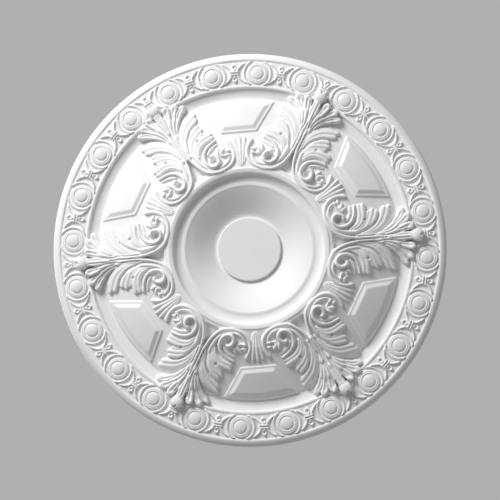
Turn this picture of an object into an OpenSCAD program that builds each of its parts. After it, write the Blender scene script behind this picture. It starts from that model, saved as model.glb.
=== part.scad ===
// Ceiling rose: one moulded casting, fixed with its flat back against the ceiling.
// The back lies in the plane z = 0 and the ornament faces down, toward -z.
// Heights below are how far a surface stands off the ceiling.

/* [Overall] */
// Diameter of the whole rose
rose_d = 640; // [540:10:760]
// How far the crest stands off the ceiling
crest_h = 50; // [42:1:60]
// Number of acanthus spokes
spokes = 6; // [6:1:6]

/* [Back] */
// Depth of the shallow recess for adhesive in the back
glue_depth = 2; // [1:0.5:3]
// Width of the flat land round the edge of the back
land_w = 22; // [16:1:30]
// Diameter of the flat pad in the middle of the back
pad_d = 140; // [110:5:160]

/* [Rim and band] */
// Width of the rounded outer rim
rim_w = 14; // [10:1:14]
// How far the rim stands off the ceiling
rim_h = 19; // [18:1:24]
// Height of the thin vertical edge at the ceiling
edge_h = 6; // [4:1:8]
// Width of the band that carries the bosses
band_w = 39; // [39:1:46]
// How far the flat of the band stands off the ceiling
band_h = 17; // [14:1:20]
// Width of the bead inside the band
bead_w = 5; // [4:1:6]
// Width of the cove between the bead and the dome
cove_w = 18; // [14:1:22]
// How far the outer edge of the cove stands off the ceiling
cove_h = 14; // [13:0.5:14]
// How far the foot of the dome stands off the ceiling
foot_h = 10; // [8:1:12]

/* [Dome and bowl] */
// Width of the dome, from its foot to the crest ring
dome_w = 115; // [95:1:135]
// How far the crest ring stands over the edge of the dome
crest_lip = 1.5; // [1:0.5:3]
// Width of the flat groove between the cove and the dome
groove_w = 2; // [1.5:0.5:3]
// Height of the small step from that groove up to the dome
groove_h = 2; // [1:0.5:3]
// Width of the flat crest ring
crest_w = 8; // [6:1:10]
// Width of the hollow step inside the crest ring
step_w = 14; // [11:1:16]
// Depth of that step
step_h = 12; // [10:1:14]
// Width of the bead at the lip of the bowl
lip_w = 6; // [5:1:7]
// How far the bottom of the bowl stands off the ceiling
bowl_h = 9; // [7:1:12]
// Diameter of the centre disc
disc_d = 103; // [88:1:118]
// How far the face of the centre disc stands off the ceiling
disc_h = 16; // [14:1:24]
// Sweep of the bowl: 0 is a straight cone, 1 is an S that ends level at lip and bottom
bowl_sweep = 0.7; // [0:0.1:1]

/* [Bosses and darts] */
// Number of round bosses on the band
bosses = 24; // [24:1:24]
// Diameter of the round middle of a boss
boss_d = 22; // [18:1:26]
// Height of a boss over the band
boss_h = 7; // [5:0.5:9]
// Diameter of a boss over its outer ring
boss_ring_d = 38; // [32:1:38]
// Length of a dart across the band
dart_l = 31; // [26:1:34]
// Width of a dart at its ends
dart_w = 15; // [11:1:18]
// Thickness of a dart's arms
dart_arm = 3; // [2:0.5:4]
// Height of a dart over the band
dart_h = 3; // [2:0.5:4]

/* [Tablets] */
// Half of the angle that a tablet's outer edge spans
tablet_wide = 14.5; // [12:0.5:15.5]
// Half of the angle that its inner edge spans
tablet_narrow = 8.5; // [7:0.5:9.5]
// Inner edge of a tablet, as a share of the way from the crest to the foot
tablet_in = 0.53; // [0.5:0.01:0.6]
// Distance from a tablet's outer edge to the foot of the dome
tablet_gap = 3; // [2:0.5:5]
// Height of a tablet's margin over the dome
margin_h = 3; // [2:0.5:4]
// Width of that margin
margin_w = 9; // [7:1:11]
// Height of the tablet's field over the dome
field_h = 6; // [5:0.5:7]

/* [Acanthus] */
// Height of the leaves over the dome
leaf_h = 6; // [4:0.5:8]
// Height of the ribs and small volutes over the dome
rib_h = 10; // [9:0.5:12]
// Half width of a leaf finger at its fullest
finger_w = 8; // [6:0.5:9.5]
// Half width of the rib along a finger
rib_w = 1.8; // [1.5:0.1:2.4]
// How far the palmettes stand off the ceiling where they leave the dome
palmette_in_h = 38; // [34:1:42]
// How far their tips stand off the ceiling over the band
palmette_out_h = 29; // [26:1:33]
// Radius of the large volute, over its rolled edge
volute_r = 27.5; // [26.5:0.5:29]
// Width of its rolled edge
roll_w = 5; // [4:0.5:6]
// Height of that edge over the dome
roll_h = 8.5; // [7:0.5:10]
// Radius of the small volute inside it
eye_r = 12; // [10:0.5:14]
// Radius of the hollow in the small volute
eye_hole_r = 5.5; // [4:0.5:6.5]

/* [Hidden] */
$fn = 48;

rim_r = rose_d / 2;
band_out_r = rim_r - rim_w;
band_in_r = band_out_r - band_w;
band_mid_r = (band_out_r + band_in_r) / 2;
cove_out_r = band_in_r - bead_w;
foot_r = cove_out_r - cove_w;
crest_out_r = foot_r - dome_w;
crest_in_r = crest_out_r - crest_w;
lip_out_r = crest_in_r - step_w;
bowl_r = lip_out_r - lip_w;
disc_r = disc_d / 2;
lip_h = crest_h - step_h;
edge_soft = 2;
crest_fall = 1;
crest_edge = 3;
lip_round = 1;
bead_steps = 3;
cove_steps = 4;
sector = 360 / spokes;
round_steps = 5;
arc_steps = 3;
bowl_steps = 7;
finger_steps = 2;
// Each layer starts at its own level inside the body, so that no two hidden faces coincide
slab_h = glue_depth + 2;
body_root = glue_depth + 1;
leaf_root = 5.5;
rib_root = 5.8;
husk_root = 5.95;
volute_root = 6.1;
palmette_root = 6.4;
boss_root = 3;
dart_root = 2;
tablet_root = 6.7;
field_root = 7;
// How far the turned shapes run in under each other
lap = 4;
// Turns their seams clear of the carving
seam_turn = 27.3;
ball_fn = 200;

// The dome is part of a large ball that passes just under the crest ring and over the groove;
// its centre lies ball_drop behind the ceiling, on the rose's axis
dome_top = crest_h - crest_lip;
dome_foot = foot_h + groove_h;
ball_drop = (foot_r * foot_r - crest_out_r * crest_out_r + dome_foot * dome_foot
    - dome_top * dome_top) / (2 * (dome_top - dome_foot));
ball_r = norm([crest_out_r, dome_top + ball_drop]);

// Points along a quarter of an ellipse, from angle a0 to a1
function ellipse_arc(c, rx, ry, a0, a1, n) =
    [for (i = [0 : n]) let (a = a0 + (a1 - a0) * i / n) c + [rx * cos(a), ry * sin(a)]];

// The bowl starts gently at its lip, is steepest half way in and ends gently at the disc
function bowl_rise(t) = (1 - bowl_sweep) * t + bowl_sweep * t * t * (3 - 2 * t);
bowl_curve = [for (i = [0 : bowl_steps]) let (t = 1 - i / bowl_steps)
    [disc_r + t * (bowl_r - disc_r), bowl_h + (lip_h - bowl_h) * bowl_rise(t)]];

// The back: a flat pad, a shallow recess and a flat land at the edge
back_profile = [
    [0, 0], [pad_d / 2, 0], [pad_d / 2 + glue_depth, glue_depth],
    [rim_r - land_w - glue_depth, glue_depth], [rim_r - land_w, 0], [rim_r, 0]
];

// The outer mouldings, as [radius, height]: edge, rim, band, bead, cove and groove
outer_profile = concat(
    [[rim_r, edge_h]],
    ellipse_arc([band_out_r, edge_h], rim_w, rim_h - edge_h, 20, 90, round_steps),
    [[band_out_r, band_h], [band_in_r, band_h]],
    ellipse_arc([band_in_r - bead_w / 2, band_h], bead_w / 2, bead_w / 2, 45, 180, bead_steps),
    ellipse_arc([foot_r + groove_w, cove_h], cove_w - groove_w, cove_h - foot_h, 0, -90, cove_steps),
    [[foot_r - lap, foot_h], [foot_r - lap, slab_h], [0, slab_h]]
);

// The inner mouldings: crest ring, hollow step, bead, bowl and disc
inner_profile = concat(
    [[0, body_root], [crest_out_r, body_root]],
    [[crest_out_r, crest_h], [crest_in_r, crest_h - crest_fall]],
    ellipse_arc([lip_out_r, crest_h - crest_edge], step_w, step_h - crest_edge, 0, -90, round_steps),
    [[lip_out_r - lip_w / 2, lip_h + lip_round]],
    bowl_curve,
    [[disc_r, disc_h - edge_soft], [disc_r - edge_soft, disc_h], [0, disc_h]]
);

// The ball of the dome, raised by h
module ball(h) {
    translate([0, 0, -ball_drop]) sphere(ball_r + h, $fn = ball_fn);
}

// The turned body: outer mouldings, dome and inner mouldings
module body() {
    rotate(seam_turn) {
        rotate_extrude() polygon(concat(back_profile, outer_profile));
        rotate_extrude() polygon(inner_profile);
        intersection() {
            rotate_extrude() translate([crest_out_r - lap / 2, body_root + 1])
                square([foot_r - crest_out_r + lap / 2, crest_h]);
            ball(0);
        }
    }
}

// Carving that stands h over the dome
module on_dome(root, h) {
    intersection() {
        translate([0, 0, root]) linear_extrude(crest_h + 2 * h) children();
        rotate(seam_turn) ball(h);
    }
}

// A place on the dome: t is the way from the crest ring to the foot, a the angle off the spoke
function place(p) = (crest_out_r + p[0] * dome_w) * [cos(p[1]), sin(p[1])];

function bend(p, q, r, t) = (1 - t) * (1 - t) * p + 2 * t * (1 - t) * q + t * t * r;

// The route of a leaf finger, given as its root, the point it bends toward and its tip
function route(f) =
    [for (i = [0 : finger_steps]) bend(place(f[0]), place(f[1]), place(f[2]), i / finger_steps)];

function across(pts, i) =
    let (n = len(pts) - 1, d = pts[min(i + 1, n)] - pts[max(i - 1, 0)])
    [-d[1], d[0]] / norm(d);

// A finger is full past its root and runs out to a point
function fullness(s) = s < 1 ? 0.55 + 1.2 * s * (1 - s) : 0;

// A strip of half width w along a route
module strip(pts, w) {
    n = len(pts) - 1;
    polygon(concat(
        [for (i = [0 : n]) pts[i] + across(pts, i) * w * fullness(i / n)],
        [for (i = [n - 1 : -1 : 0]) pts[i] - across(pts, i) * w * fullness(i / n)]
    ));
}

// Root, bend and tip of each finger: [way out from the crest, degrees off the spoke]
upper_leaf = [
    [[0.55, 1.5], [0.85, 3.5], [0.97, 8]],
    [[0.35, 2], [0.8, 4], [0.97, 13]],
    [[0.33, 3], [0.75, 5], [0.9, 12]]
];
middle_leaf = [
    [[0.32, 5], [0.62, 6.5], [0.8, 12]],
    [[0.3, 6], [0.55, 8], [0.7, 14]]
];
lower_leaf = [
    [[0.28, 7], [0.45, 8], [0.58, 16.5]],
    [[0.28, 8], [0.42, 11], [0.46, 18]]
];
palmette = [
    [[0.66, 0.8], [1, 1.5], [1.24, 4.4]],
    [[0.66, 1.2], [1, 3], [1.17, 8.4]],
    [[0.66, 1.6], [0.98, 4], [1.13, 10.6]]
];
small_leaf = [
    [[0.2, 17], [0.32, 19], [0.36, 20.5]],
    [[0.18, 17], [0.24, 20], [0.25, 22]]
];
husk = [[0.04, 0.6], [0.15, 1.6], [0.42, 4]];
husk_middle = [[0.03, 0], [0.2, 0], [0.45, 0]];
volute_at = [0.222, 15.3];
eye_at = [0.185, 11.3];
stem = [[0.25, 0], [0.5, 0], [0.72, 0]];
branch = [[0.42, 0.6], [0.2, 1.2], [0.04, 8]];
inner_stem = [[0.5, 6], [0.3, 5], [0.12, 8]];
blades = [
    [[0.3, 3], [0.65, 4], [0.95, 8]],
    [[0.2, 7], [0.5, 7.5], [0.7, 12]],
    [[0.2, 10], [0.4, 10], [0.52, 15]]
];
palmette_blade = [[0.6, 0], [0.9, 3], [1.12, 6]];
stem_w = 5.5;
branch_w = 6;
blade_w = 12;

// Outline of half a spoke: the leaf fingers and the stalk
module half_leaves() {
    for (f = concat(upper_leaf, middle_leaf, lower_leaf)) strip(route(f), finger_w);
    for (f = small_leaf) strip(route(f), finger_w / 2);
    for (f = blades) strip(route(f), blade_w);
    strip(route(inner_stem), finger_w);
    strip(route(branch), branch_w);
}

// The ribs down the main fingers and the stalk
module half_ribs() {
    for (f = concat(upper_leaf, middle_leaf, lower_leaf)) strip(route(f), rib_w);
    strip(route(branch), rib_w);
}

// Outline of half a palmette, the fan that laps over the cove on to the band
module half_palmette() {
    for (f = palmette) strip(route(f), finger_w);
    strip(route(palmette_blade), blade_w);
}

// Repeats a motif round the rose as one outline: the first child is a half that is mirrored,
// and the second, if there is one, lies on the middle line
module all_round(first = 0) {
    offset(delta = 0.1) for (k = [0 : spokes - 1]) rotate(first + k * sector) {
        for (side = [0, 1]) mirror([0, side, 0]) children(0);
        if ($children > 1) children(1);
    }
}

// A flat ring round a place on the dome
module ring_at(p, r_out, r_in) {
    translate(place(p)) difference() {
        circle(r_out);
        circle(r_in);
    }
}

// The palmettes slope down from the dome to their tips over the band
module palmettes() {
    intersection() {
        translate([0, 0, palmette_root]) linear_extrude(crest_h) all_round() half_palmette();
        rotate(seam_turn) rotate_extrude() polygon([
            [crest_out_r, palmette_root - 1], [band_mid_r, palmette_root - 1],
            [band_mid_r, palmette_out_h], [crest_out_r, palmette_in_h]
        ]);
    }
}

module volutes() {
    for (k = [0 : spokes - 1], side = [-1, 1]) rotate(k * sector) {
        on_dome(volute_root, roll_h) ring_at([volute_at[0], side * volute_at[1]],
            volute_r, volute_r - roll_w);
        on_dome(volute_root, rib_h) ring_at([eye_at[0], side * eye_at[1]], eye_r, eye_hole_r);
    }
}

module acanthus() {
    on_dome(leaf_root, leaf_h) all_round() {
        half_leaves();
        strip(route(stem), stem_w);
    }
    on_dome(rib_root, rib_h) all_round() {
        half_ribs();
        strip(route(stem), rib_w);
    }
    on_dome(husk_root, leaf_h) all_round(sector / 2) {
        strip(route(husk), finger_w / 2);
        strip(route(husk_middle), finger_w / 2);
    }
    volutes();
    palmettes();
}

// A tablet's outline between two spokes, shrunk by a margin all round
module tablet_outline(margin) {
    r_out = foot_r - tablet_gap - margin;
    r_in = crest_out_r + tablet_in * dome_w + margin;
    wide = tablet_wide - asin(margin / foot_r);
    narrow = tablet_narrow - asin(margin / r_in);
    polygon(concat(
        [for (i = [-arc_steps : arc_steps]) let (a = wide * i / arc_steps) r_out * [cos(a), sin(a)]],
        [r_in * [cos(narrow), sin(narrow)], r_in * [cos(narrow), -sin(narrow)]]
    ));
}

module tablets() {
    on_dome(tablet_root, margin_h)
        for (k = [0 : spokes - 1]) rotate((k + 0.5) * sector) tablet_outline(0);
    on_dome(field_root, field_h)
        for (k = [0 : spokes - 1]) rotate((k + 0.5) * sector) tablet_outline(margin_w);
}

// A boss is a round button that stands in a sloping ring
module boss() {
    button_r = boss_d / 2;
    ring_r = boss_ring_d / 2;
    ring_h = boss_h / 3;
    valley_h = ring_h / 3;
    slope = (ring_r - button_r) / 4;
    rotate_extrude() polygon(concat(
        [[0, -boss_root], [ring_r, -boss_root], [ring_r, 0]],
        [[ring_r - slope, ring_h], [button_r + slope, valley_h]],
        ellipse_arc([0, valley_h], button_r, boss_h - valley_h, 0, 90, arc_steps)
    ));
}

// A dart has four arms that spread to the corners, tied by a bar in the middle
module dart() {
    spread = atan(dart_w / dart_l);
    translate([0, 0, -dart_root]) linear_extrude(dart_root + dart_h) {
        for (s = [-1, 1]) rotate(s * spread) square([dart_l, dart_arm], center = true);
        square([dart_arm * 2, dart_w / 2], center = true);
    }
}

module band_ornament() {
    pitch = 360 / bosses;
    for (i = [0 : bosses - 1]) {
        rotate((i + 0.5) * pitch) translate([band_mid_r, 0, band_h]) boss();
        if (i % (bosses / spokes) != 0)
            rotate(i * pitch) translate([band_mid_r, 0, band_h]) dart();
    }
}

module ceiling_rose() {
    color("white") rotate([180, 0, 0]) {
        body();
        band_ornament();
        tablets();
        acanthus();
    }
}

ceiling_rose();
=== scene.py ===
# %% [markdown]
# # A moulded ceiling rose
#
# A ceiling rose is one light casting that is glued flat to a ceiling, with a lamp hung
# from its middle. It comes out of an open mould, so no part of it is undercut: over each
# point of the ceiling its face has just one height. That makes it a natural height field.
# This script works the height out with numpy, first the turned mouldings and then the
# carving on them, and lifts grids of points to it. The rose hangs as it does in use, with
# its back in the plane z = 0 and its ornament facing down.

# %% The frame
import math

import bpy
import numpy as np
from mathutils import Matrix, Vector


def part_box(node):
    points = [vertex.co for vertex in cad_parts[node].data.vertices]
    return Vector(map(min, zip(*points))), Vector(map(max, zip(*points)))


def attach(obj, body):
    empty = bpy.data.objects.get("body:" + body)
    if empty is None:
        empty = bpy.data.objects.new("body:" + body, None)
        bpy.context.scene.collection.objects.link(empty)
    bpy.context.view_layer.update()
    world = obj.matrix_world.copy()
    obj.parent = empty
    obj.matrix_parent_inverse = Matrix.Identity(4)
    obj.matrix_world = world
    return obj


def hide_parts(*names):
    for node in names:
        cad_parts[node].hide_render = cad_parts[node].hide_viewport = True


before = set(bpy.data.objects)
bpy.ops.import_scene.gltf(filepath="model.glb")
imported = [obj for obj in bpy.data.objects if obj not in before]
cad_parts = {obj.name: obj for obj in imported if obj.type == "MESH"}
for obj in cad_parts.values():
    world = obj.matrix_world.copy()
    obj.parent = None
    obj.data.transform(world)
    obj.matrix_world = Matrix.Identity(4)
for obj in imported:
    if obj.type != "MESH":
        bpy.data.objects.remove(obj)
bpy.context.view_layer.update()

MM = 0.001
low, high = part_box("ceiling_rose")
rose_r = (high[0] - low[0]) / 2 / MM
print(f"rose {2 * rose_r:.0f} mm across, {(high[2] - low[2]) / MM:.0f} mm deep")

# %% [markdown]
# ## The turned mouldings
#
# On the real rose every plain surface is turned: a template runs round the centre before
# any ornament is laid. The section could be drawn as a curve object and spun, but the
# carving has to sit exactly on it, so it is kept as numbers: rows of a radius and a height
# off the ceiling, in millimetres. The radii step inward from the rim by the width of each
# moulding.

# %% Radii and heights of the mouldings, in millimetres
rim_w, band_w, bead_w, cove_w, dome_w = 14, 39, 5, 18, 115
crest_w, step_w, lip_w = 8, 14, 6
band_out_r = rose_r - rim_w
band_in_r = band_out_r - band_w
band_mid_r = (band_out_r + band_in_r) / 2
cove_out_r = band_in_r - bead_w
foot_r = cove_out_r - cove_w
crest_out_r = foot_r - dome_w
crest_in_r = crest_out_r - crest_w
lip_out_r = crest_in_r - step_w
bowl_r = lip_out_r - lip_w
disc_r = 51.5
edge_h, rim_h, band_h, cove_h, foot_h, crest_h = 6, 19, 17, 14, 10, 50
lip_h, bowl_h, disc_h = 38, 9, 16
bowl_sweep = 0.2
crest_lip, groove_w, groove_h = 1.5, 2, 2
dome_top, dome_foot = crest_h - crest_lip, foot_h + groove_h
ball_drop = (foot_r**2 - crest_out_r**2 + dome_foot**2 - dome_top**2) / (2 * (dome_top - dome_foot))
ball_r = math.hypot(crest_out_r, dome_top + ball_drop)
print(f"the dome is part of a ball {ball_r:.0f} mm in radius")


def dome_height(r):
    """A large ball whose centre lies ball_drop behind the ceiling: the root of its radius
    squared less r squared, less that drop."""
    return np.sqrt(ball_r**2 - r**2) - ball_drop


def cove_height(r):
    """From the foot's height it rises with the power 1.5 of the way out to the cove's edge."""
    way = (r - foot_r - groove_w) / (cove_w - groove_w)
    return foot_h + (cove_h - foot_h) * way**1.5


def ease(t):
    """0 up to t = 0, 1 from t = 1, and a smooth S between: 3 t squared less 2 t cubed."""
    t = np.clip(t, 0, 1)
    return t * t * (3 - 2 * t)


def arc(cx, cy, rx, ry, a0, a1, n):
    """Rows along an ellipse: centre plus (rx cos a, ry sin a), from a0 to a1 degrees."""
    a = np.radians(np.linspace(a0, a1, n))
    return np.stack([cx + rx * np.cos(a), cy + ry * np.sin(a)], 1)


def run(r0, r1, step, height):
    """Rows from radius r0 to r1, at most a step apart, with height a function of the radius."""
    r = np.linspace(r0, r1, int(abs(r1 - r0) / step) + 2)
    return np.stack([r, height(r)], 1)


# %% [markdown]
# ## Lines to carve along
#
# Leaves and scrolls follow lines. A carver pounces a few points of the drawing through
# paper and joins them by eye. Here the points are given in millimetres across and out
# from the centre of the rose, and a Catmull-Rom curve joins them: each span is a cubic
# whose slope at a point is half the step between that point's neighbours.

# %% Smooth lines, and how near a place is to one
def line(points, per_span=14):
    """A dense row of places on a line through the points. With b and c the ends of a span
    and a and d the points beyond them, a place at share t of the span is half of
    2b + (c - a) t + (2a - 5b + 4c - d) t squared + (3b - a - 3c + d) t cubed."""
    p = np.array(points, float)
    p = np.concatenate([[2 * p[0] - p[1]], p, [2 * p[-1] - p[-2]]])
    t = np.linspace(0, 1, per_span, endpoint=False)[:, None]
    spans = [
        0.5 * (2 * b + (c - a) * t + (2 * a - 5 * b + 4 * c - d) * t**2
               + (3 * b - a - 3 * c + d) * t**3)
        for a, b, c, d in zip(p[:-3], p[1:-2], p[2:-1], p[3:])
    ]
    return np.concatenate(spans + [p[-2:-1]])


def near(path, u, v):
    """For each place: how far it is off the path, and its share of the way along it."""
    a, d = path[:-1], np.diff(path, axis=0)
    length = np.linalg.norm(d, axis=1)
    along = np.concatenate([[0], np.cumsum(length)])
    pu, pv = u[:, None] - a[:, 0], v[:, None] - a[:, 1]
    t = np.clip((pu * d[:, 0] + pv * d[:, 1]) / length**2, 0, 1)
    off = np.hypot(pu - t * d[:, 0], pv - t * d[:, 1])
    k = off.argmin(1)
    rows = np.arange(len(u))
    return off[rows, k], (along[k] + t[rows, k] * length[k]) / along[-1]


class Carving:
    """The carved face over a field of places (u across, v out), built up and cut back."""

    def __init__(self, u, v, ground):
        self.u, self.v, self.ground = u, v, ground
        self.top = ground.copy()
        self.sunk = np.zeros_like(ground)

    def _touched(self, path, reach):
        lo, hi = path.min(0) - reach, path.max(0) + reach
        return np.nonzero(
            (self.u > lo[0]) & (self.u < hi[0]) & (self.v > lo[1]) & (self.v < hi[1])
        )

    def ridge(self, points, width, heights, crown=2.5, root=0.6, tip=0.3, off_ceiling=False):
        """Adds a rounded finger along a line. At a share s of the way its half width is
        width, narrowed to root at the start and rounded off over the last part, tip. Its
        height there runs through heights, and falls to each side by crown times q squared,
        where q is the way out to its edge. It counts from the ground, or off_ceiling."""
        path = line(points)
        at = self._touched(path, width + 1)
        if not len(at[0]):
            return
        off, s = near(path, self.u[at], self.v[at])
        half = width * (root + (1 - root) * ease(s / 0.5))
        half = half * np.sqrt(np.clip(1 - (np.clip(s - 1 + tip, 0, 1) / tip) ** 2, 0, 1))
        q = off / np.maximum(half, 1e-6)
        level = np.interp(s, np.linspace(0, 1, len(heights)), heights)
        level = level if off_ceiling else level + self.ground[at]
        h = np.where(q < 1, level - crown * q * q, -1e3)
        self.top[at] = np.maximum(self.top[at], h)

    def groove(self, points, width, depth, fade=0.12):
        """Cuts a soft V along a line: depth times e to the minus (way off / width) squared,
        fading in and out at its ends, never under the ground."""
        path = line(points)
        at = self._touched(path, 3 * width)
        if not len(at[0]):
            return
        off, s = near(path, self.u[at], self.v[at])
        ends = ease(s / fade) * ease((1 - s) / fade)
        cut = depth * ends * np.exp(-((off / width) ** 2))
        self.top[at] = np.maximum(self.top[at] - cut, np.minimum(self.top[at], self.ground[at]))

    def knob(self, u, v, r, height, dome=3.5):
        """Sets a button of radius r whose middle stands height off the ceiling: it falls by
        dome times the way out squared, and steeply at its rim."""
        way = np.hypot(self.u - u, self.v - v) / r
        h = np.where(way < 1, height - dome * way**2 - 3 * ease((way - 0.8) / 0.2), -1e3)
        self.top = np.maximum(self.top, h)

    def eye(self, u, v, r, depth):
        """Drills a round hole of radius r with a soft edge, depth below what stands there."""
        way = np.hypot(self.u - u, self.v - v) / r
        self.sunk = np.maximum(self.sunk, depth * (1 - ease((way - 0.55) / 0.55)))


# %% [markdown]
# ## The acanthus spoke
#
# Each spoke is a stalk that rises from the crest ring, throws a curling leaf to each side
# and ends in an open palmette that laps over the cove on to the band. Below, the stalk
# parts into two rolled edges that sweep round into volutes. A sculptor would block the
# leaves and then gouge the flutes. The same is done here: every flute of a leaf is a
# rounded ridge, the V between two ridges is the gouge's cut, and the deep shadows are
# grooves and drilled eyes put in last. Only half is drawn, because the other half is its
# mirror image.


# %% The leaves that curl out from the stalk
def carve_leaves(c):
    """Upper, middle and lower leaf of one side, as ridges that spread from the stem."""
    body = dict(crown=1, tip=0.15)
    c.ridge([(6, 180), (11, 205), (22, 222), (46, 235)], 9, (4, 4.5, 4.5, 3), **body)
    c.ridge([(12, 178), (20, 194), (44, 207)], 8, (3.5, 4, 3), **body)
    c.ridge([(16, 168), (26, 180), (54, 187)], 6.5, (3, 3.5, 3), **body)
    flute = dict(crown=2.4, tip=0.12)
    c.ridge([(7, 196), (12, 214), (23, 227), (42, 235)], 3.8, (6, 7.5, 7, 6), **flute)
    c.ridge([(8, 190), (14, 210), (28, 225.5), (54, 235.5)], 4.8, (6, 8, 7.5, 6), **flute)
    c.ridge([(9.5, 186), (16, 204), (30, 218), (52, 227.5)], 4.8, (6, 7.5, 7, 5.5), **flute)
    c.ridge([(12, 183), (18.5, 198), (30, 207.5), (46, 214)], 4.6, (6, 7.5, 7.5, 6), **flute)
    c.ridge([(13.5, 180), (21, 194.5), (33, 202), (49, 207)], 4.4, (6, 7.5, 7, 5.5), **flute)
    c.ridge([(15, 177), (22.5, 189), (33, 195.5), (46, 200)], 3.8, (5.5, 7, 6, 4.5), **flute)
    c.ridge([(16.5, 172), (23, 183), (35, 190), (58, 190.5)], 4.4, (6, 7.5, 7.5, 5.5), **flute)
    c.ridge([(18, 168), (25, 179), (37, 184), (57, 184)], 4.2, (6, 7, 6.5, 4.5), **flute)
    for base, end in [((10, 207), (10, 216)), ((16, 217), (18.5, 226)), ((25, 225), (29, 234))]:
        c.ridge([base, end], 3, (6, 6.5, 5.5), crown=3, root=0.8)


# %% The volutes: rolled edge, inner rim, scroll and the small leaf in it
def carve_volutes(c):
    """Two rims round a scroll that winds into a drilled eye."""
    c.ridge([(40, 150), (44, 154), (48, 150)], 24, (1.2, 1.2), crown=1, root=1, tip=0.1)
    c.ridge([(2.6, 184), (4.8, 165), (9.8, 149), (18, 137), (31, 130), (46, 127.5), (58, 130),
             (66, 136), (71, 145), (72.5, 155), (71, 165)],
            2.8, (8, 8, 6, 4.5, 4.5, 5.5, 6), tip=0.04)
    c.ridge([(62, 143), (55, 136), (44, 133), (32, 135), (21, 143), (14.5, 155),
             (12.5, 168), (12, 184)], 3.6, (5, 6.5, 7.5, 7.5), root=0.5, tip=0.1)
    c.ridge([(55, 176.5), (40, 174.5), (28, 168), (22.3, 157), (22.8, 146.5), (28.5, 140),
             (36, 139.2), (41.8, 144.5), (42, 152), (38, 157), (32.5, 157)],
            3.3, (6, 8, 9.5, 11, 10.5), tip=0.05)
    c.ridge([(54, 169.5), (44, 168.5), (36, 165.5), (30, 161)], 2.6, (4, 5.5, 6, 5))
    for tip in [(67, 150), (64, 142.5), (61, 157), (53, 163)]:
        mid = (0.5 * (46 + tip[0]), 0.5 * (150 + tip[1]) + 1)
        c.ridge([(46, 150), mid, tip], 2.8, (4, 7.5, 6.5), crown=3)


# %% The stalk, the hollow under it and the palmette above
def carve_stalk(c):
    """Two ribs side by side with a dark line between them, and a finer rib outside each."""
    c.ridge([(0, 182), (0, 200), (0, 226)], 5, (5, 6, 6), crown=1, root=0.8, tip=0.1)
    c.ridge([(2.5, 176), (2.4, 200), (2.6, 226)], 2.5, (8, 9.5, 9), crown=3.5, root=1, tip=0.1)
    c.ridge([(7, 178), (6.6, 196), (7.4, 214)], 2, (6.5, 7.5, 7), crown=2.5, tip=0.1)


def carve_palmette(c):
    """An open fan of hollow lobes whose round ends curl forward over the band."""
    fan = dict(off_ceiling=True, crown=2.4, root=0.35, tip=0.12)
    c.ridge([(5, 210), (15, 233), (30, 248.5), (47, 257)], 5.4, (36, 31, 25, 21), **fan)
    c.ridge([(4, 208), (13, 236), (25, 254), (37, 267)], 6.6, (36.5, 33, 28.5, 24.5), **fan)
    c.ridge([(3, 206), (9, 238), (14, 256), (19, 272)], 6.6, (37, 34.5, 32, 29), **fan)
    c.ridge([(0, 206), (0, 240), (0, 262), (0, 276)], 6.6, (37, 35, 33, 31), **fan)
    c.knob(0, 276, 10.6, 34)


def carve_cuts(c):
    """The deep cuts: between the leaves, round the scroll and in the palmette."""
    c.groove([(45, 219.5), (31, 214), (19, 203), (13, 191), (10, 178), (10, 166), (13.5, 152),
              (21, 141.5), (32.5, 133.5), (48, 131)], 1.1, 4)
    c.groove([(54, 180), (38, 179.5), (26.5, 173.5), (19.5, 163), (19.2, 150), (26, 139.5),
              (36, 136.5), (45, 141), (46.5, 151), (41, 160)], 1.3, 5)
    c.groove([(30, 213), (22, 204), (14, 188), (11.5, 176)], 1.1, 3)
    c.groove([(12.5, 266), (7.5, 247), (4.5, 231), (4.4, 215)], 1.2, 6)
    c.groove([(25, 264), (18, 250), (9.5, 232), (7, 218)], 1.2, 5)
    c.groove([(40, 260), (28, 251), (14, 231), (9, 216)], 1.2, 4.5)
    c.groove([(18, 269), (14.5, 257), (10.5, 243)], 2.4, 4.5, fade=0.3)
    c.groove([(34, 264), (25, 254.5), (16, 242)], 2.4, 4, fade=0.3)
    c.groove([(44, 256), (31, 248.5), (19, 237)], 1.7, 2.6, fade=0.3)
    c.groove([(2.6, 266), (2.4, 250), (2.2, 232)], 1, 2.4)
    c.groove([(0, 229), (0, 205), (0, 172)], 0.9, 5, fade=0.05)
    c.groove([(4.9, 176), (4.9, 196), (5.6, 220)], 0.9, 3.5)
    c.eye(0, 283, 2.2, 4.5)
    c.eye(31.5, 192.2, 2.6, 5)
    c.eye(33.5, 148.5, 4.8, 6)
    c.eye(57, 149.5, 4, 5)


# %% [markdown]
# ## The husk between two spokes
#
# Where the volutes of neighbouring spokes meet, a small husk of upright flutes fills the
# gap. It is drawn about its own axis, half a sector round from the spoke.


# %% The husk
def carve_husk(c):
    """Upright flutes that spread a little at their outer end."""
    c.ridge([(0, 136), (0, 158), (0, 184)], 3.2, (2, 5.5, 5), crown=2)
    c.ridge([(2.5, 137), (5, 160), (9, 183)], 3.2, (2, 5, 4.5), crown=2)
    c.ridge([(5, 140), (9.5, 160), (17, 179)], 3, (2, 4, 4), crown=2)


# %% [markdown]
# ## The raised tablet
#
# Between the spokes a tablet in two steps stands on the dome: a margin, then a flat field.
# Its outline is bounded by an arc outside, a chord inside and a straight edge at each
# side, so the way in from the nearest of them says where each step rises.


# %% The tablet
tablet_in_v, tablet_foot_u, tablet_head_u = 187.5, 29, 62
margin_h, margin_edge, margin_w = 2.6, 1.8, 5
field_h, bevel_w = 3.4, 6


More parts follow.
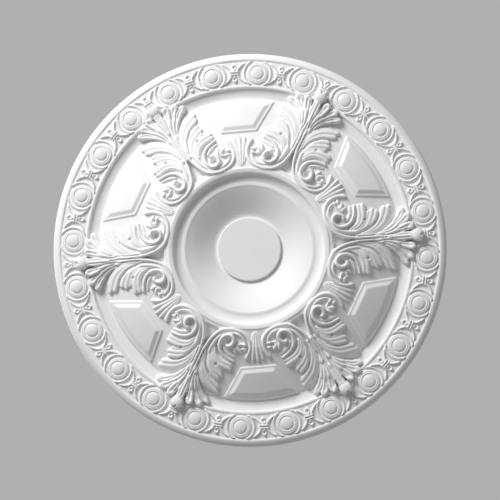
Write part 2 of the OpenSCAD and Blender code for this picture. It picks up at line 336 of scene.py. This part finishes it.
def tablet_height(u, v):
    """The way in from the nearest edge gives a steep outer step, a level fillet and then a
    straight bevel up to the field."""
    r = np.hypot(u, v)
    head_v = math.sqrt(foot_r**2 - tablet_head_u**2)
    side = np.array([tablet_head_u - tablet_foot_u, head_v - tablet_in_v])
    side = side / np.linalg.norm(side)
    from_side = (v - tablet_in_v) * side[0] - (np.abs(u) - tablet_foot_u) * side[1]
    way_in = np.minimum(np.minimum(foot_r - 0.5 - r, v - tablet_in_v), from_side)
    step = margin_h * ease(way_in / margin_edge)
    bevel = field_h * np.clip((way_in - margin_w) / bevel_w, 0, 1)
    return step + bevel


print(f"tablets stand {margin_h + field_h:.0f} mm off the dome")


# %% [markdown]
# ## The boss-and-dart band
#
# Round bosses with two fine rings about them alternate with four-armed darts, a flat cousin
# of the egg and dart. One boss and one dart are functions of the place on the band, and the
# angle is folded so that they repeat every fifteen degrees.


# %% A boss and a dart
boss_pitch = 15
boss_r, mound_r = 10.4, 18


def boss_height(a, b):
    """Over the place (a along, b across the band): a low mound and a button on it, both
    shaped as the top of a flattened ball, two rings with a groove inside them, and a round
    fillet about them all. A ring is e to the minus (way off its radius / width) squared."""
    way = np.hypot(a, b)
    cap = lambda r: np.sqrt(np.clip(1 - (way / r) ** 2, 0, 1))
    ring = lambda r, w, h: h * np.exp(-(((way - r) / w) ** 2))
    mound = (0.8 + 3 * cap(mound_r + 0.5)) * ease((mound_r - way) / 1.2)
    button = 2.2 * cap(boss_r)
    rings = ring(12.8, 1, 1.5) + ring(15.9, 1, 1.5) - ring(11, 0.8, 1)
    return np.maximum(mound + button + rings, ring(21.9, 1.4, 4.2))


def dart_height(a, b):
    """Over the place (a along, b across): four arms that curve out to the corners, a double
    tie, and inside each pair of arms a small leaf with a drilled eye."""
    a, b = np.abs(a), np.abs(b)
    arm_at = 4.4 + 0.052 * b**2
    arm = 4.8 * np.exp(-(((a - arm_at) / 1.6) ** 2)) * ease((b - 1) / 2) * ease((18 - b) / 3)
    tie = 5.2 * np.exp(-(((b - 2.2) / 1.35) ** 2)) * ease((8.4 - a) / 1.6)
    wide = 4.4 * np.sqrt(np.clip(1 - ((b - 9.4) / 5.6) ** 2, 0, 1))
    leaf = 4.2 * ease((wide - a) / 1.4)
    hole = 6.5 * np.exp(-((np.hypot(a, b - 9.4) / 2.1) ** 2))
    return np.maximum(np.maximum(arm, tie), leaf - hole)


def band_height(r, angle):
    """Bosses at odd multiples of half the pitch and darts at whole ones."""
    fold = (angle + boss_pitch / 2) % boss_pitch - boss_pitch / 2
    across = r - band_mid_r
    dart = dart_height(np.radians(fold) * r, across)
    to_boss = np.radians(np.abs(fold) - boss_pitch / 2) * r
    boss = boss_height(to_boss, across)
    inside = ease((band_w / 2 + 0.5 - np.abs(across)) / 1.5)
    return np.maximum(dart, boss) * inside


print(f"{360 // boss_pitch} bosses and as many darts")

# %% [markdown]
# ## One sector of the face
#
# The rose repeats every sixty degrees, so the height of one sector is worked out once, on
# a grid of radii and angles about one spoke, and turned five times. All parts meet in one
# height: the highest of the mouldings, the tablet, the husk and the leaves wins, as when
# ornaments are bedded on a turned ground. The drilled eyes and the hollow under the stalk
# are taken off after that. A light smoothing along both directions of the grid then softens
# every edge as a coat of primer does.

# %% The grid and its heights
fine, band_fine = 0.92, 0.68
columns = 300
sector_in_r = (crest_in_r + crest_out_r) / 2
crest_slope = 1 / crest_w
turned = np.concatenate([
    run(sector_in_r, crest_out_r - 0.7, fine,
        lambda r: crest_h - (crest_out_r - r) * crest_slope),
    [[crest_out_r - 0.1, crest_h - 0.6]],
    run(crest_out_r + 0.5, foot_r - 0.8, fine, dome_height),
    [[foot_r - 0.2, dome_foot - 0.6], [foot_r + 0.2, foot_h + 0.4]],
    run(foot_r + groove_w, cove_out_r, fine, cove_height),
    arc(band_in_r - bead_w / 2, band_h, bead_w / 2, 1.6, 165, 0, 8),
    run(band_in_r, band_out_r, band_fine, lambda r: band_h + 0 * r)[1:],
])
rim = np.concatenate([
    [[band_out_r + 0.3, band_h + 0.6], [band_out_r + 1.2, rim_h - 0.7]],
    arc(band_out_r, edge_h, rim_w, rim_h - edge_h, 80, 8, 12),
    [[rose_r, edge_h - 0.8], [rose_r, 0.6], [rose_r - 0.6, 0]],
])
angle = np.linspace(-30, 30, columns + 1)
grid_r = turned[:, :1] * np.ones(columns + 1)
grid_a = np.ones(len(turned))[:, None] * angle
ground = turned[:, 1:] * np.ones(columns + 1)
print(f"sector grid: {len(turned)} rows by {columns + 1} columns")

# %% The hollow under a stalk, and all heights together
pit_apex_v, pit_base_v, pit_half, pit_deep = 174, 135, 12.5, 9


def stalk_pit(u, v):
    """A three-cornered hollow between the two rolls of a stalk, down to the crest ring: its
    half width grows with the power 1.3 of the way down from its apex."""
    way = np.clip((pit_apex_v - v) / (pit_apex_v - pit_base_v), 0, 1)
    inside = np.minimum(pit_half * way**1.3 - np.abs(u), v - pit_base_v)
    return pit_deep * ease(inside / 1.5)


# Leaves, stalk, palmette and husk are drawn a little large, and cut at this share
cut_share = 0.983


def sector_heights():
    """The highest of ground with its tablet or band, husk and leaves over each point of
    the grid, less the drilled eyes and the hollow under the stalk."""
    fold = np.radians(np.abs(grid_a))
    u, v = grid_r * np.sin(fold) / cut_share, grid_r * np.cos(fold) / cut_share
    half = np.radians(30) - fold
    hu, hv = grid_r * np.sin(half), grid_r * np.cos(half)
    on_band = (grid_r > band_in_r) & (grid_r < band_out_r)
    h = ground + np.where(grid_r < foot_r + 1, tablet_height(hu, hv), 0)
    husk = Carving(hu / cut_share, hv / cut_share, ground)
    carve_husk(husk)
    h = np.maximum(h, husk.top)
    h = h + np.where(on_band, band_height(grid_r, grid_a), 0)
    leaves = Carving(u, v, ground)
    carve_leaves(leaves)
    carve_volutes(leaves)
    carve_stalk(leaves)
    carve_palmette(leaves)
    carve_cuts(leaves)
    pit = stalk_pit(grid_r * np.sin(fold), grid_r * np.cos(fold))
    return np.maximum(h, leaves.top) - leaves.sunk - pit


def soften(h):
    """Each point takes a sixth of each neighbour along a row, then along a column."""
    h[:, 1:-1] = (4 * h[:, 1:-1] + h[:, :-2] + h[:, 2:]) / 6
    h[1:-1] = (4 * h[1:-1] + h[:-2] + h[2:]) / 6
    return h


face = soften(sector_heights())
print(f"face stands {face.max():.1f} mm off the ceiling at most")

# %% [markdown]
# ## The back
#
# The back is what the glue takes: a flat land at the edge, a flat pad in the middle and a
# shallow recess between, with two ribs that key the adhesive. It is part of the same
# turned section, so each sector's skin runs on over the edge and along the back.

# %% Rows of the back, from the edge inward
glue_depth, land_w, pad_r = 2, 22, 70
land_r = rose_r - land_w


def rib(r):
    """A low rounded rib in the recess, as rows of radius and height."""
    return np.array([[r + 4, glue_depth], [r + 2, 0.6], [r - 2, 0.6], [r - 4, glue_depth]])


back = np.concatenate([
    [[rose_r - 1.5, 0], [land_r + 1, 0], [land_r, 0.2], [land_r - glue_depth, glue_depth]],
    rib(250),
    rib(190),
    [[sector_in_r, glue_depth]],
])
print(f"the back lies on a land {land_w} mm wide and a pad {2 * pad_r} mm across")


# %% [markdown]
# ## Meshes
#
# A grid of places becomes faces by joining each place to the next row and the next column.
# The grid of a sector closes on itself, because its rows run over the face, round the edge
# and back along the ceiling side. Two flat ends close it like the cut sides of a cake.


# %% Grid to mesh
def quads(rows, cols, closed_rows):
    """Corner numbers of every cell of a grid: place (i, j) has the number i times cols
    plus j, and closed_rows joins the last row to the first."""
    last_row = rows if closed_rows else rows - 1
    i, j = np.meshgrid(np.arange(last_row), np.arange(cols - 1), indexing="ij")
    here, there = i * cols + j, (i + 1) % rows * cols + j
    return np.stack([here, here + 1, there + 1, there], -1).reshape(-1, 4)


def make_object(name, places, faces, ends=(), creases=()):
    """A mesh object from places in millimetres, four-cornered faces and many-cornered ends.
    An edge is sharp where one of the creases holds for both of its places."""
    mesh = bpy.data.meshes.new(name)
    mesh.from_pydata(places * MM, [], [*faces.tolist(), *ends])
    mesh.polygons.foreach_set("use_smooth", np.arange(len(mesh.polygons)) < len(faces))
    both = np.empty(2 * len(mesh.edges), np.int32)
    mesh.edges.foreach_get("vertices", both)
    a, b = both.reshape(-1, 2).T
    sharp = np.zeros(len(a), bool)
    for crease in creases:
        sharp |= crease(a) & crease(b)
    mesh.attributes.new("sharp_edge", "BOOLEAN", "EDGE").data.foreach_set("value", sharp)
    mesh.update()
    obj = bpy.data.objects.new(name, mesh)
    bpy.context.scene.collection.objects.link(obj)
    return obj


def sector_places(turn):
    """The sector's closed grid, turned about the axis, with the ornament facing down."""
    around = np.concatenate([rim, back])
    r = np.concatenate([grid_r, around[:, :1] * np.ones(columns + 1)])
    h = np.concatenate([face, around[:, 1:] * np.ones(columns + 1)])
    a = np.radians(angle + turn)[None, :] * np.ones(len(r))[:, None]
    return np.stack([r * np.cos(a), r * np.sin(a), -h], -1)


sectors = []
for k in range(6):
    grid = sector_places(60 * k)
    rows, cols = grid.shape[:2]
    first, last = np.arange(rows) * cols, np.arange(rows) * cols + cols - 1
    creases = [lambda n: n % cols == 0, lambda n: n % cols == cols - 1,
               lambda n: n < cols, lambda n: n >= (rows - 1) * cols]
    sectors.append(make_object(
        f"spoke_sector_{k + 1}",
        grid.reshape(-1, 3),
        quads(rows, cols, True),
        [first.tolist(), last.tolist()[::-1]],
        creases,
    ))
print(f"6 sectors of {len(sectors[0].data.polygons)} faces")

# %% [markdown]
# ## The bowl and the centre disc
#
# Inside the crest ring nothing is carved, so this piece is a plain turned solid: the inner
# half of the crest ring, a hollow step, a bead, a bowl that is almost a straight cone and
# the disc that a lamp's canopy covers. Its rows run from the pole of the disc out to the
# ring, down its side and back to the pole of the back, and fans of triangles close both
# poles.

# %% The bowl
def bowl_height(r):
    """Up from bowl_h at the disc to lip_h: the share bowl_sweep of the rise is a smooth S
    and the rest of it is straight."""
    t = (r - disc_r) / (bowl_r - disc_r)
    return bowl_h + (lip_h - bowl_h) * ((1 - bowl_sweep) * t + bowl_sweep * ease(t))


bowl_rows = np.concatenate([
    run(6, disc_r - 3, 4, lambda r: disc_h + 0 * r),
    arc(disc_r - 1.6, disc_h - 1.6, 1.6, 1.6, 80, 0, 6),
    [[disc_r, bowl_h + 1.4], [disc_r + 0.5, bowl_h + 0.5]],
    run(disc_r + 1.5, bowl_r, 1.6, bowl_height),
    arc(bowl_r + lip_w / 2, lip_h, -lip_w / 2, 0.6, 15, 165, 8),
    arc(lip_out_r, crest_h - 3, step_w, crest_h - 3 - lip_h, -88, 0, 14),
    [[crest_in_r, crest_h - 1.7], [crest_in_r + 0.7, crest_h - 1.05], [sector_in_r, crest_h - 0.5]],
])
seam = len(bowl_rows) - 1
bowl_rows = np.concatenate([
    bowl_rows,
    [[sector_in_r, glue_depth], [pad_r + glue_depth, glue_depth], [pad_r, 0.2], [pad_r - 1, 0], [8, 0]],
])
turns = 360
a = np.radians(np.arange(turns))
ring = bowl_rows[:, None, :1] * np.stack([np.cos(a), np.sin(a)], -1)
grid = np.concatenate([ring, -bowl_rows[:, None, 1:] * np.ones((1, turns, 1))], -1)
rows = len(bowl_rows)
cells = quads(rows, turns + 1, False)
cells = (cells // (turns + 1)) * turns + (cells % (turns + 1)) % turns
places = np.concatenate([grid.reshape(-1, 3), [[0, 0, -disc_h], [0, 0, 0]]])
j, n = np.arange(turns), rows * turns
after = (j + 1) % turns
fans = np.stack([0 * j + n, after, j], 1).tolist()
fans += np.stack([0 * j + n + 1, j + n - turns, after + n - turns], 1).tolist()
seams = [lambda i, row=row: i // turns == row for row in (seam, seam + 1)]
bowl = make_object("bowl_and_disc", places, cells, fans, seams)
print(f"bowl: {len(bowl.data.polygons)} faces")

# %% [markdown]
# ## The finish
#
# The casting comes primed matt white. Primer is never quite even, and the foam under it
# leaves a fine grain. Base colour takes a faint, slow mottle, roughness wanders between
# 0.5 and 0.66, and two small bumps stand for the grain of the primer and the drag of the
# brush. Everything reads Object coordinates, so the pattern stays on the casting.


# %% The primer
def primed_white():
    """Matt white with a slow mottle, a fine grain and brush drag."""
    mat = bpy.data.materials.new("white_primer")
    mat.use_nodes = True
    nodes, links = mat.node_tree.nodes, mat.node_tree.links
    shader = nodes["Principled BSDF"]
    place = nodes.new("ShaderNodeTexCoord")

    def noise(scale, detail, rough):
        n = nodes.new("ShaderNodeTexNoise")
        n.inputs["Scale"].default_value = scale
        n.inputs["Detail"].default_value = detail
        n.inputs["Roughness"].default_value = rough
        links.new(place.outputs["Object"], n.inputs["Vector"])
        return n

    mottle = noise(14, 3, 0.5)
    tint = nodes.new("ShaderNodeMix")
    tint.data_type = "RGBA"
    tint.inputs[6].default_value = (0.86, 0.86, 0.855, 1)
    tint.inputs[7].default_value = (0.91, 0.91, 0.905, 1)
    links.new(mottle.outputs["Fac"], tint.inputs[0])
    links.new(tint.outputs[2], shader.inputs["Base Color"])
    sheen = nodes.new("ShaderNodeMapRange")
    sheen.inputs["To Min"].default_value = 0.5
    sheen.inputs["To Max"].default_value = 0.66
    links.new(noise(60, 2, 0.5).outputs["Fac"], sheen.inputs["Value"])
    links.new(sheen.outputs["Result"], shader.inputs["Roughness"])
    grain = nodes.new("ShaderNodeBump")
    grain.inputs["Strength"].default_value = 0.25
    grain.inputs["Distance"].default_value = 0.0002
    links.new(noise(900, 3, 0.6).outputs["Fac"], grain.inputs["Height"])
    drag = nodes.new("ShaderNodeBump")
    drag.inputs["Strength"].default_value = 0.3
    drag.inputs["Distance"].default_value = 0.0008
    links.new(noise(70, 2, 0.5).outputs["Fac"], drag.inputs["Height"])
    links.new(grain.outputs["Normal"], drag.inputs["Normal"])
    links.new(drag.outputs["Normal"], shader.inputs["Normal"])
    shader.inputs["Specular IOR Level"].default_value = 0.3
    return mat


primer = primed_white()
for piece in [*sectors, bowl]:
    piece.data.materials.append(primer)
    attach(piece, "root")
    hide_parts("ceiling_rose")
print(f"{len(sectors) + 1} pieces primed, with {len(primer.node_tree.nodes)} nodes")

# %% [markdown]
# ## Camera, light and room
#
# A ceiling rose is seen from below. The camera stands under it, just under three degrees
# off its axis, and looks up with a roll that brings the spokes to the angle at which they
# hang. It is so far away that the rose takes up 0.784 of the view's width. A soft key light
# to the upper left, 34 degrees below the plane of the ceiling, rakes over the relief, an
# even grey room fills the shadows, and a weak light above shows the back.

# %% Camera
# Degrees of the roll and the lean, millimetres of the lens, and the rose's share of the view
roll = 64.8
lean_right, lean_up = 1.8, -2.0
lens, sensor = 85, 36
share_of_view = 0.784


def axes_of_view():
    """Right, up and toward-the-camera directions of a camera under the rose."""
    turn = Matrix.Rotation(math.radians(roll), 3, "Z")
    right = turn @ Vector((1, 0, 0))
    up = turn @ Vector((0, -1, 0))
    return right, up, right.cross(up)


right, up, below = axes_of_view()
lean = right * math.tan(math.radians(lean_right)) + up * math.tan(math.radians(lean_up))
back_dir = (below + lean).normalized()
half_view = math.atan(sensor / 2 / lens)
away = rose_r * MM / math.tan(half_view) / share_of_view
aim = right * 0.001 - up * 0.0008
camera = bpy.data.cameras.new("camera")
camera.lens, camera.sensor_width = lens, sensor
view = bpy.data.objects.new("camera", camera)
bpy.context.scene.collection.objects.link(view)
side = up.cross(back_dir).normalized()
top = back_dir.cross(side)
turned_to = Matrix((side, top, back_dir)).transposed().to_4x4()
view.matrix_world = Matrix.Translation(aim + back_dir * away) @ turned_to
bpy.context.scene.camera = view
print(f"camera {away:.2f} m from the rose")


# %% Light and room
def area_light(name, toward, distance, size, brightness):
    """A square soft light that faces the rose. Its power is pi squared times the
    brightness it gives a white wall, times the distance squared."""
    lamp = bpy.data.lights.new(name, "AREA")
    lamp.size = size
    lamp.energy = brightness * math.pi**2 * distance**2
    obj = bpy.data.objects.new(name, lamp)
    turn = toward.to_track_quat("Z", "Y").to_matrix().to_4x4()
    obj.matrix_world = Matrix.Translation(toward * distance) @ turn
    bpy.context.scene.collection.objects.link(obj)


key_rise = math.radians(34)
key_side = (up - 0.75 * right).normalized()
key_from = key_side * math.cos(key_rise) + below * math.sin(key_rise)
area_light("key", key_from, distance=2.6, size=1.1, brightness=1.03)
above = Vector((-0.5, -0.6, 0.8)).normalized()
area_light("over_the_back", above, distance=2.6, size=1.2, brightness=0.3)

room = bpy.data.worlds.new("grey_room")
bpy.context.scene.world = room
room.use_nodes = True
sky = room.node_tree.nodes["Background"]
sky.inputs["Color"].default_value = (0.445, 0.428, 0.445, 1)
bpy.context.scene.view_settings.view_transform = "Standard"

# %% The floor, in metres
floor_z, floor_half = -3.2, 9
floor_mesh = bpy.data.meshes.new("floor")
corners = [(x * floor_half, y * floor_half, floor_z) for x, y in ((-1, -1), (1, -1), (1, 1), (-1, 1))]
floor_mesh.from_pydata(corners, [], [(0, 1, 2, 3)])
floor = bpy.data.objects.new("floor", floor_mesh)
bpy.context.scene.collection.objects.link(floor)
grey = bpy.data.materials.new("grey_floor")
grey.use_nodes = True
floor_shader = grey.node_tree.nodes["Principled BSDF"]
floor_shader.inputs["Base Color"].default_value = (0.4, 0.395, 0.4, 1)
floor_shader.inputs["Roughness"].default_value = 0.9
floor_mesh.materials.append(grey)
print(f"floor {-floor_z:.1f} m below the ceiling")
